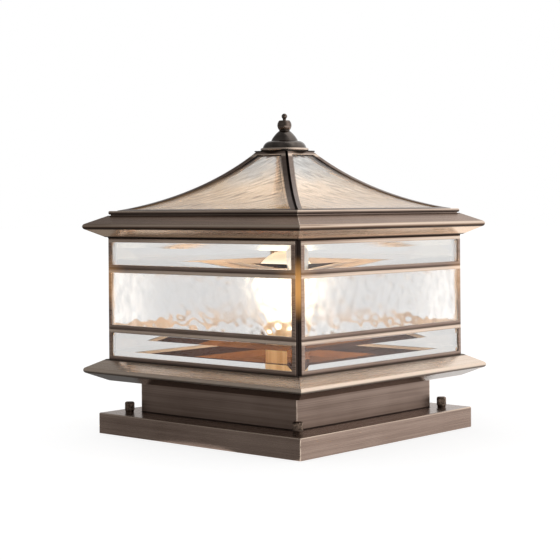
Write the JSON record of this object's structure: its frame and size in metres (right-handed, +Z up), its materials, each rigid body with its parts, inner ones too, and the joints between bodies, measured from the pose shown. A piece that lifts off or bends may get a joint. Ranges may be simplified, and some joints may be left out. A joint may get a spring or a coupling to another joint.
{
  "type": "pillar lantern",
  "caption": "Square pillar lantern in bronzed brass: base tray with thumb nuts, neck, bevelled and ripple glass body, lit screw-base bulb, bent-glass roof that lifts off, ball finial.",
  "frame": {"origin": "centre of the underside, on the pillar's top", "axes": "+Z up, the four glazed sides square to X and Y, front side facing -Y"},
  "size_m": [0.3, 0.3, 0.3322],
  "materials": {
    "antique_brass": "brushed, bronzed",
    "dark_brass": "bronzed dark",
    "nut_brass": "knurled, bronzed",
    "lamp_brass": "satin brass",
    "zinc_steel": "zinc plated",
    "black_rubber": "matt",
    "terminal_nylon": "moulded",
    "lead_sleeve": "silicone sleeve",
    "porcelain": "glazed",
    "clear_glass": "bevelled, polished",
    "ripple_glass": "rippled",
    "bulb_glass": "frosted",
    "stem_glass": "drawn glass",
    "filament": "phosphor coated",
    "bulb_cap_metal": "rolled",
    "black_vitrite": "glassy"
  },
  "bodies": {
    "lantern": {"mounting_plate": "zinc_steel", "mounting_studs": "zinc_steel", "cable_grommet": "black_rubber", "terminal_block": "terminal_nylon", "terminal_screws": "zinc_steel", "lamp_leads": "lead_sleeve", "base_tray": "antique_brass", "neck_box": "antique_brass", "lower_eave": "antique_brass", "floor_plate": "lamp_brass", "reflector_plate": "lamp_brass", "lamp_nipple": "lamp_brass", "nipple_nut": "lamp_brass", "holder_cup": "lamp_brass", "holder_body": "porcelain", "holder_shell": "lamp_brass", "holder_contact": "lamp_brass", "corner_posts": "dark_brass", "front_cames": "antique_brass", "right_cames": "antique_brass", "back_cames": "antique_brass", "left_cames": "antique_brass", "bottom_panes": "clear_glass", "top_panes": "clear_glass", "front_ripple_pane": "ripple_glass", "right_ripple_pane": "ripple_glass", "back_ripple_pane": "ripple_glass", "left_ripple_pane": "ripple_glass", "body_top_ring": "dark_brass", "bridge_strap": "lamp_brass", "bridge_screws": "lamp_brass"},
    "roof": {"upper_eave": "antique_brass", "roof_rim": "antique_brass", "hip_strips": "dark_brass", "front_roof_came": "antique_brass", "right_roof_came": "antique_brass", "back_roof_came": "antique_brass", "left_roof_came": "antique_brass", "front_roof_pane": "ripple_glass", "right_roof_pane": "ripple_glass", "back_roof_pane": "ripple_glass", "left_roof_pane": "ripple_glass", "cap_plate": "dark_brass", "finial_dome": "dark_brass"},
    "finial_washer": {"finial_washer": "dark_brass"},
    "finial": {"finial": "dark_brass"},
    "bulb_contact": {"bulb_contact": "bulb_cap_metal"},
    "bulb": {"bulb_envelope": "bulb_glass", "bulb_cap": "bulb_cap_metal", "bulb_insulator": "black_vitrite", "filament_stem": "stem_glass", "led_filaments": "filament"},
    "nut_washer_front_left": {"nut_washer_front_left": "nut_brass"},
    "thumb_nut_front_left": {"thumb_nut_front_left": "nut_brass"},
    "nut_washer_front_right": {"nut_washer_front_right": "nut_brass"},
    "thumb_nut_front_right": {"thumb_nut_front_right": "nut_brass"},
    "nut_washer_back_left": {"nut_washer_back_left": "nut_brass"},
    "thumb_nut_back_left": {"thumb_nut_back_left": "nut_brass"},
    "nut_washer_back_right": {"nut_washer_back_right": "nut_brass"},
    "thumb_nut_back_right": {"thumb_nut_back_right": "nut_brass"}
  },
  "joints": [
    {"name": "roof_lift", "type": "slide", "parent": "lantern", "child": "roof", "axis": [0, 0, 1], "range_m": [0, 0.12]},
    {"name": "finial_rise", "type": "slide", "parent": "roof", "child": "finial_washer", "axis": [0, 0, 1], "range_m": [0, 0.01]},
    {"name": "finial_turn", "type": "hinge", "parent": "finial_washer", "child": "finial", "pos_m": [0, 0, 0.314], "axis": [0, 0, 1], "range_deg": [0, 3600]},
    {"name": "bulb_rise", "type": "slide", "parent": "lantern", "child": "bulb_contact", "axis": [0, 0, 1], "range_m": [0, 0.02178]},
    {"name": "bulb_turn", "type": "hinge", "parent": "bulb_contact", "child": "bulb", "pos_m": [0, 0, 0.09], "axis": [0, 0, 1], "range_deg": [0, 2160]},
    {"name": "nut_front_left_rise", "type": "slide", "parent": "lantern", "child": "nut_washer_front_left", "axis": [0, 0, 1], "range_m": [0, 0.008]},
    {"name": "nut_front_left_turn", "type": "hinge", "parent": "nut_washer_front_left", "child": "thumb_nut_front_left", "pos_m": [-0.116, -0.116, 0.025], "axis": [0, 0, 1], "range_deg": [0, 2880]},
    {"name": "nut_front_right_rise", "type": "slide", "parent": "lantern", "child": "nut_washer_front_right", "axis": [0, 0, 1], "range_m": [0, 0.008]},
    {"name": "nut_front_right_turn", "type": "hinge", "parent": "nut_washer_front_right", "child": "thumb_nut_front_right", "pos_m": [0.116, -0.116, 0.025], "axis": [0, 0, 1], "range_deg": [0, 2880]},
    {"name": "nut_back_left_rise", "type": "slide", "parent": "lantern", "child": "nut_washer_back_left", "axis": [0, 0, 1], "range_m": [0, 0.008]},
    {"name": "nut_back_left_turn", "type": "hinge", "parent": "nut_washer_back_left", "child": "thumb_nut_back_left", "pos_m": [-0.116, 0.116, 0.025], "axis": [0, 0, 1], "range_deg": [0, 2880]},
    {"name": "nut_back_right_rise", "type": "slide", "parent": "lantern", "child": "nut_washer_back_right", "axis": [0, 0, 1], "range_m": [0, 0.008]},
    {"name": "nut_back_right_turn", "type": "hinge", "parent": "nut_washer_back_right", "child": "thumb_nut_back_right", "pos_m": [0.116, 0.116, 0.025], "axis": [0, 0, 1], "range_deg": [0, 2880]}
  ],
  "couplings": [
    {"joint": "finial_turn", "follows": "finial_rise", "rad_per_m": 6283.2},
    {"joint": "bulb_turn", "follows": "bulb_rise", "rad_per_m": 1730.9},
    {"joint": "nut_front_left_turn", "follows": "nut_front_left_rise", "rad_per_m": 6283.2},
    {"joint": "nut_front_right_turn", "follows": "nut_front_right_rise", "rad_per_m": 6283.2},
    {"joint": "nut_back_left_turn", "follows": "nut_back_left_rise", "rad_per_m": 6283.2},
    {"joint": "nut_back_right_turn", "follows": "nut_back_right_rise", "rad_per_m": 6283.2}
  ]
}
